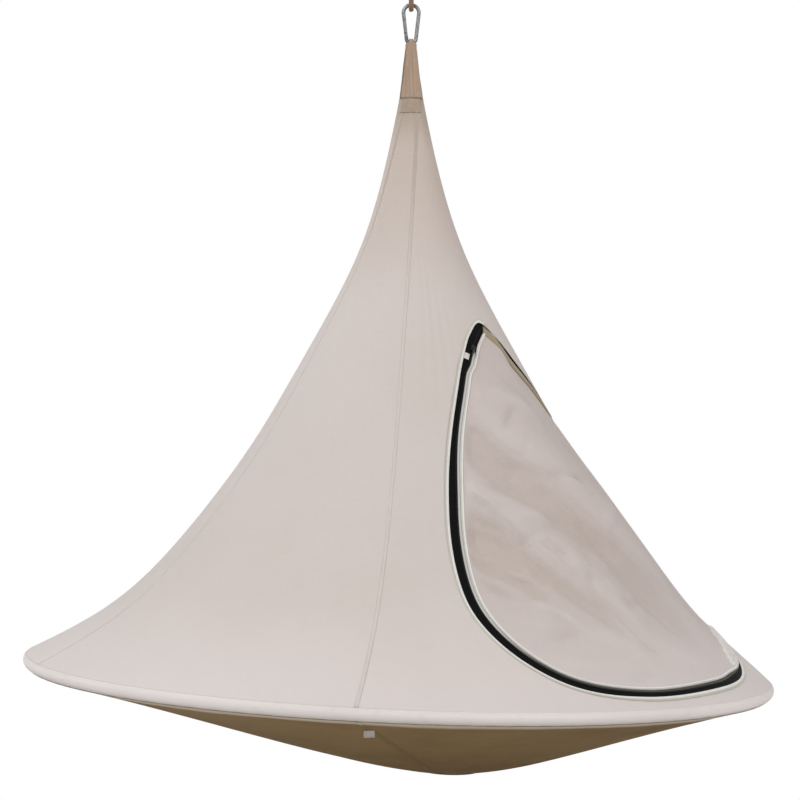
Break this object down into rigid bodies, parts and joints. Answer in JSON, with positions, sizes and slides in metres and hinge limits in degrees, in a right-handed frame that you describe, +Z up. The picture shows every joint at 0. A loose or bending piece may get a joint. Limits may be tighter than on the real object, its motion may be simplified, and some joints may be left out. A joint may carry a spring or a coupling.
{
  "type": "hanging tent",
  "caption": "Bell-shaped canvas tent on a round hoop with a cone floor and a zipped side doorway, hung from one point by a strap, snap hook, rope strop and ceiling swivel.",
  "frame": {"origin": "middle of the ceiling plate's top face, where the tent is fixed to a ceiling", "axes": "+Z up along the hanging line, -Y towards the viewer of the front, +X to the viewer's right, where the doorway is"},
  "size_m": [1.7793, 1.7806, 1.977],
  "materials": {
    "shell_canvas": "matt woven canvas",
    "door_cloth": "thin crinkled cloth",
    "floor_cloth": "matt coated cloth",
    "strap_webbing": "woven webbing",
    "white_binding": "woven tape",
    "zip_black": "woven tape",
    "zip_metal": "black lacquer",
    "hem_tan": "folded hem",
    "galvanised_steel": "galvanised",
    "hoop_aluminium": "drawn tube",
    "rope_fibre": "laid rope",
    "nylon": "moulded"
  },
  "bodies": {
    "ceiling_mount": {"ceiling_plate": "galvanised_steel", "swivel_housing": "galvanised_steel", "swivel_washer": "nylon"},
    "swivel": {"swivel_eye": "galvanised_steel"},
    "strop": {"rope_strop": "rope_fibre", "rope_knot": "rope_fibre"},
    "hook": {"snap_hook_body": "galvanised_steel", "gate_pin": "galvanised_steel"},
    "gate": {"snap_hook_gate": "galvanised_steel", "gate_spring": "galvanised_steel"},
    "tent": {"top_strap": "strap_webbing", "neck_patch_front": "strap_webbing", "neck_patch_back": "strap_webbing", "door_gore": "shell_canvas", "right_rear_gore": "shell_canvas", "rear_gore": "shell_canvas", "left_rear_gore": "shell_canvas", "front_gore": "shell_canvas", "front_seam_webbing": "strap_webbing", "right_seam_webbing": "strap_webbing", "right_rear_seam_webbing": "strap_webbing", "left_rear_seam_webbing": "strap_webbing", "left_seam_webbing": "strap_webbing", "hoop_section_1": "hoop_aluminium", "hoop_spigot_1": "hoop_aluminium", "hoop_section_2": "hoop_aluminium", "hoop_spigot_2": "hoop_aluminium", "hoop_section_3": "hoop_aluminium", "hoop_spigot_3": "hoop_aluminium", "hoop_section_4": "hoop_aluminium", "hoop_spigot_4": "hoop_aluminium", "hoop_section_5": "hoop_aluminium", "hoop_spigot_5": "hoop_aluminium", "rim_sleeve": "shell_canvas", "door_floor": "floor_cloth", "right_rear_floor": "floor_cloth", "rear_floor": "floor_cloth", "left_rear_floor": "floor_cloth", "front_floor": "floor_cloth", "floor_tip_patch": "strap_webbing", "rim_tab": "white_binding", "doorway_binding": "white_binding", "zip_tape_shell": "zip_black", "zip_tape_closed": "zip_black", "zip_top_stop": "zip_metal", "zip_end_stop": "zip_metal"},
    "door": {"door_sheet": "door_cloth", "door_binding": "white_binding", "zip_tape_door": "zip_black", "door_hem": "hem_tan"},
    "slider": {"zip_slider": "zip_metal"},
    "puller": {"zip_puller": "zip_metal", "pull_ring": "zip_metal"}
  },
  "joints": [
    {"name": "swivel_spin", "type": "hinge", "parent": "ceiling_mount", "child": "swivel", "pos_m": [0, 0, -0.0203], "axis": [0, 0, 1], "continuous": true},
    {"name": "strop_swing", "type": "hinge", "parent": "swivel", "child": "strop", "pos_m": [0, 0, -0.0563], "axis": [1, 0, 0], "range_deg": [-35, 35]},
    {"name": "hook_swing", "type": "hinge", "parent": "strop", "child": "hook", "pos_m": [0, 0, -0.1485], "axis": [0, 1, 0], "range_deg": [-35, 35]},
    {"name": "gate_hinge", "type": "hinge", "parent": "hook", "child": "gate", "pos_m": [-0.01178, 0, -0.20827], "axis": [0, 1, 0], "range_deg": [0, 25], "stiffness_Nm_per_rad": 0.12, "springref_deg": -28.65},
    {"name": "tent_swing", "type": "hinge", "parent": "hook", "child": "tent", "pos_m": [0, 0, -0.219], "axis": [1, 0, 0], "range_deg": [-30, 30]},
    {"name": "door_swing", "type": "hinge", "parent": "tent", "child": "door", "pos_m": [0.51121, 0.11403, -1.37527], "axis": [-0.5801, -0.1333, 0.8036], "range_deg": [0, 100]},
    {"name": "slider_run", "type": "hinge", "parent": "tent", "child": "slider", "pos_m": [-0.13499, 0.72405, -1.68538], "axis": [0.9578, 0.0679, -0.2793], "range_deg": [0, 1.5]},
    {"name": "puller_hinge", "type": "hinge", "parent": "slider", "child": "puller", "pos_m": [0.14518, -0.20335, -0.95508], "axis": [-0.8439, -0.2831, 0.4557], "range_deg": [0, 160]}
  ]
}
